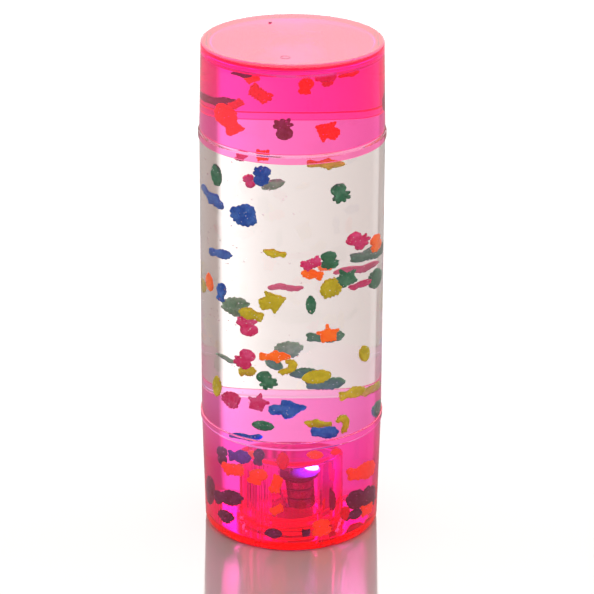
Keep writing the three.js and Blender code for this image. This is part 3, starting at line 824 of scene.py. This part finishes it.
def bubbles():
    """Tiny air bubbles that cling inside the barrel, most of them on its left, and a few at the
    waterline."""
    spots = []
    for _ in range(170):
        bearing = math.radians(random.gauss(205, 42))
        high = random.uniform(LOWER_RIM + 2, UPPER_RIM - 1)
        radius = random.choice((0.09, 0.12, 0.15, 0.2))
        out = BARREL_INNER - radius - 0.08 - random.choice((0, 0, 0.4, 2, 5))
        spots.append(((out * math.cos(bearing), out * math.sin(bearing), high), radius))
    for _ in range(70):
        bearing = random.uniform(0, 2 * math.pi)
        radius = random.choice((0.08, 0.1, 0.12, 0.16))
        out = UPPER_INNER - radius - 0.25 - abs(random.gauss(0, 0.8))
        high = WATERLINE - radius - 0.06
        spots.append(((out * math.cos(bearing), out * math.sin(bearing), high), radius))
    return spots


def bead_material():
    """Pale beads painted bright with emission: painted highlights that stand in for the glints where light
    catches the weld.
    """
    material = fresh_material("painted_glint_bead")
    tree = material.node_tree
    mottle = grain(tree, 2500, 2.0)
    # Painted highlight: the pale colour and the emission stand in for glints of light.
    colour = mixed(tree, mottle, (0.95, 0.45, 0.50, 1.0), (1.0, 0.70, 0.72, 1.0))
    shader = add(tree, "ShaderNodeBsdfPrincipled", Base_Color=colour, Roughness=0.25,
                 Emission_Color=(1.0, 0.42, 0.50, 1.0), Emission_Strength=0.35,
                 Normal=bump(tree, mottle, 0.00005, 0.5))
    return finish_with(material, shader)


def beads():
    """Two lines of pale beads as painted glints along the lower cap's floor, from the pocket's foot to the
    front wall.
    """
    spots = []
    for side, count in ((1, 26), (-1, 16)):
        for k in range(count):
            along = (k + 0.5) / count
            radius = random.choice((0.13, 0.18, 0.26, 0.36))
            across = side * (10.9 + 1.1 * along + random.gauss(0, 0.35))
            deep = -2.5 - 14.3 * along
            spots.append(((across, deep, CAP_WALL + 0.65 + radius + abs(random.gauss(0, 0.35))), radius))
    return spots


def gate_material():
    """The rough, darker plastic where the mould's gate and pins touched."""
    material = fresh_material("gate_mark")
    tree = material.node_tree
    mottle = grain(tree, 3000, 3.0)
    colour = mixed(tree, mottle, (0.26, 0.04, 0.08, 1.0), (0.45, 0.11, 0.18, 1.0))
    shader = add(tree, "ShaderNodeBsdfPrincipled", Base_Color=colour,
                 Roughness=ramp(tree, mottle, 0.3, 0.7, 0.3, 0.5), Normal=bump(tree, mottle, 0.00005, 0.5))
    return finish_with(material, shader)


def gate_marks():
    """A fine ring near the front of the top face and a small nib near its back."""
    finish = gate_material()
    for name, at, inner, radius, rise in (
        ("gate_ring", (-1.9, -17.2), 1.11, 1.35, 0.05),
        ("gate_nib", (-6.1, 15.0), 0.0, 0.42, 0.25),
    ):
        points = [(inner, TOP - 0.03, 0, 0), (radius, TOP - 0.03, 0, 0), (radius, TOP + rise, 0.02, 0),
                  (inner, TOP + rise, 0, 0)]
        centre = Matrix.Translation((*at, 0.0))
        piece, _ = turn_piece(name, points, [finish], closed=inner > 0, sides=32, centre=centre)
        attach(piece, "tube")


def coat(nodes, material):
    """Gives nodes of the frame their material."""
    for name in nodes:
        mesh = frame["nodes"][name]
        for slot in mesh.material_slots:
            slot.material = material


# ------------------------------------------------------------------ studio


def make_floor():
    """A wide flat floor, a hair under the tube."""
    reach, level = 6.0, -0.05 * MM
    corners = [(reach * x, reach * y, level) for x, y in ((-1, -1), (1, -1), (1, 1), (-1, 1))]
    floor = new_piece("studio_floor", corners, [(0, 1, 2, 3)], [floor_material()], smooth=False)


def gathered(tree, bearing, z):
    """What the tube's liquid gathers by bearing, in degrees to the right of +Y: a softbox and its
    beam, the screen, and dark cards at both edges."""
    fading = ramp(tree, bearing, 35, 28.5)
    parts = (
        (times(tree, ramp(tree, bearing, -36, 33), fading), SOFTBOX - SCREEN),
        (times(tree, ramp(tree, bearing, 4, 28), fading), 0.9),
        (times(tree, ramp(tree, bearing, -51, -48), fading), SCREEN),
        (band(tree, bearing, (-51, -48), (-38, -43)), 0.3),
        (plus(tree, ramp(tree, bearing, 86, 94), ramp(tree, bearing, -86, -94)), SCREEN + 0.8),
        (ramp(tree, bearing, -50, -54), 0.2),
    )
    light = plus(tree, CARD, *(times(tree, where, level) for where, level in parts))
    light = times(tree, light, ramp(tree, z, 0.400, 0.418, 0.90, 1.5), ramp(tree, z, 0.425, 0.450, 1.0, 0.55))
    light = choose(tree, ramp(tree, z, 0.10, 0.16), 1.3, light)
    return choose(tree, ramp(tree, z, 0.62, 0.85), light, STEEP)


def floor_lines(tree, bearing):
    """The bright upright lines that the floor's shine shows under the tube, and their ripples."""
    right = band(tree, bearing, (21, 24), (35, 33))
    left = band(tree, bearing, (-46, -42), (-14, -22))
    ripple = times(tree, maths(tree, "SINE", times(tree, bearing, 1.9)), ramp(tree, bearing, -4, 4, 0.0, 0.3))
    return plus(tree, 0.42, times(tree, right, 5.5), times(tree, left, 3.2), ripple)


def make_world():
    """A bright sweep behind the tube. Dark cards to its left and right show through the liquid."""
    world = bpy.data.worlds.new("studio")
    bpy.context.scene.world = world
    world.use_nodes = True
    world.cycles.sampling_method = "NONE"
    tree = world.node_tree
    tree.nodes.clear()
    way = add(tree, "ShaderNodeTexCoord").outputs["Generated"]
    x, y, z = add(tree, "ShaderNodeSeparateXYZ", Vector=way).outputs
    bearing = times(tree, maths(tree, "ARCTAN2", x, y), 180 / math.pi)
    path = add(tree, "ShaderNodeLightPath").outputs
    bent = maths(tree, "GREATER_THAN", path["Transmission Depth"], 0.5)
    matt = maths(tree, "GREATER_THAN", path["Diffuse Depth"], 0.5)
    mirrored = maths(tree, "GREATER_THAN", path["Glossy Depth"], 0.5)
    mirrored_twice = maths(tree, "GREATER_THAN", path["Glossy Depth"], 1.5)

    straight = times(tree, path["Is Transmission Ray"], band(tree, z, (0.28, 0.36), (0.8, 0.6)))
    pattern = times(tree, gathered(tree, bearing, z), backdrop_level(tree, z))
    pattern = choose(tree, straight, pattern, floor_lines(tree, bearing))

    open_air = times(tree, backdrop_level(tree, z), BACKDROP)
    open_air = choose(tree, ramp(tree, z, 0.5, 0.8), open_air, OVERHEAD)
    open_air = choose(tree, mirrored_twice, open_air, 0.7)
    open_air = choose(tree, path["Is Camera Ray"], open_air, 1.0)

    soft = ramp(tree, z, -0.1, 1.0, 0.85, 1.2, smooth=False)
    veiled = times(tree, soft, choose(tree, mirrored, 1.0, 0.4))
    soft = choose(tree, bent, veiled, times(tree, soft, INSIDE))

    strength = choose(tree, bent, open_air, pattern)
    strength = choose(tree, matt, strength, soft)
    background = add(tree, "ShaderNodeBackground", Color=(1.0, 1.0, 1.0, 1.0), Strength=strength)
    output = add(tree, "ShaderNodeOutputWorld")
    tree.links.new(background.outputs[0], output.inputs["Surface"])


def lamp_glow(name, spot, power, size):
    """A small violet light, thrown by the lit lamp."""
    light = bpy.data.lights.new(name, "POINT")
    light.energy = power
    light.color = LAMP_BLUE
    light.shadow_soft_size = size * MM
    holder = bpy.data.objects.new(name, light)
    holder.location = [v * MM for v in spot]
    for ray in ("camera", "glossy", "transmission"):
        setattr(holder, f"visible_{ray}", False)
    bpy.context.scene.collection.objects.link(holder)


def make_camera():
    """Looks down on the tube from the front, with the tube a little off the middle."""
    camera = bpy.data.cameras.new("camera")
    camera.sensor_width = 36.0
    camera.lens = 166.6
    camera.shift_x = 0.00867
    camera.shift_y = -0.02205
    holder = bpy.data.objects.new("camera", camera)
    bpy.context.scene.collection.objects.link(holder)
    distance = 0.755
    pitch, roll = math.radians(21.56), math.radians(0.164)
    aim = Vector((0, 0, TOP * MM / 2))
    holder.location = aim + distance * Vector((0, -math.cos(pitch), math.sin(pitch)))
    look = (aim - holder.location).to_track_quat("-Z", "Y").to_matrix().to_4x4()
    holder.matrix_world = Matrix.Translation(holder.location) @ look @ Matrix.Rotation(roll, 4, "Z")
    camera.dof.use_dof = False
    bpy.context.scene.camera = holder


def set_view():
    """Plain colours, and enough bounces for light to cross every wall of the tube and back."""
    scene = bpy.context.scene
    scene.view_settings.view_transform = "Standard"
    scene.cycles.use_denoising = True
    scene.cycles.max_bounces = 32
    scene.cycles.transmission_bounces = 32
    scene.cycles.glossy_bounces = 12
    scene.cycles.diffuse_bounces = 3
    scene.cycles.transparent_max_bounces = 16
    scene.cycles.sample_clamp_indirect = 12.0


# ------------------------------------------------------------------ assembly

dyed = pink_plastic("pink_dyed_plastic", UPPER_DENSITY)
dyed_low = pink_plastic("pink_dyed_plastic_low", LOWER_DENSITY)
vinyls = {dye: vinyl(dye) for dye in DYES}

stand_for(make_barrel(), "barrel", "tube")
stand_for(make_lower_cap(dyed_low), "lower_cap", "tube")
stand_for(make_upper_cap(dyed), "upper_cap", "tube")
stand_for(make_plug(dyed_low), "base_plug", "tube")
liquid = make_liquid()
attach(liquid, "tube")

softened = {}
for name in soft_nodes():
    dye, kind, _ = name.rsplit("_", 2)
    soft = softened[name] = rounded(frame["nodes"][name].data, f"{name}_soft", kind, HEADS.get(name))
    soft.data.materials.clear()
    soft.data.materials.append(vinyls[dye])
    stand_for(soft, name, name)
make_more(softened, vinyls)

scatter_balls("bubbles", bubbles(), bubble_material())
scatter_balls("painted_glint_beads", beads(), bead_material())
gate_marks()

cell_steel = steel("cell_steel", (0.46, 0.36, 0.24), (0.22, 0.16, 0.11))
spring_steel = steel("spring_steel", (0.66, 0.62, 0.52), (0.42, 0.37, 0.29))
coat(["button_cell_1", "button_cell_2", "button_cell_3", "top_contact"], cell_steel)
coat(["contact_strip", "shake_pin", "shake_coil"], spring_steel)
coat(["circuit_board"], board_material())
coat(["controller_chip"], epoxy_material())
coat(["led_lamp"], lamp_material())

make_floor()
make_world()
lamp_glow("lamp_glow_in_pocket", (6, -2.5, 19.6), 0.0002, 0.6)
lamp_glow("lamp_glow_in_liquid", (2, -4, 24.6), 0.011, 1.5)
make_camera()
set_view()
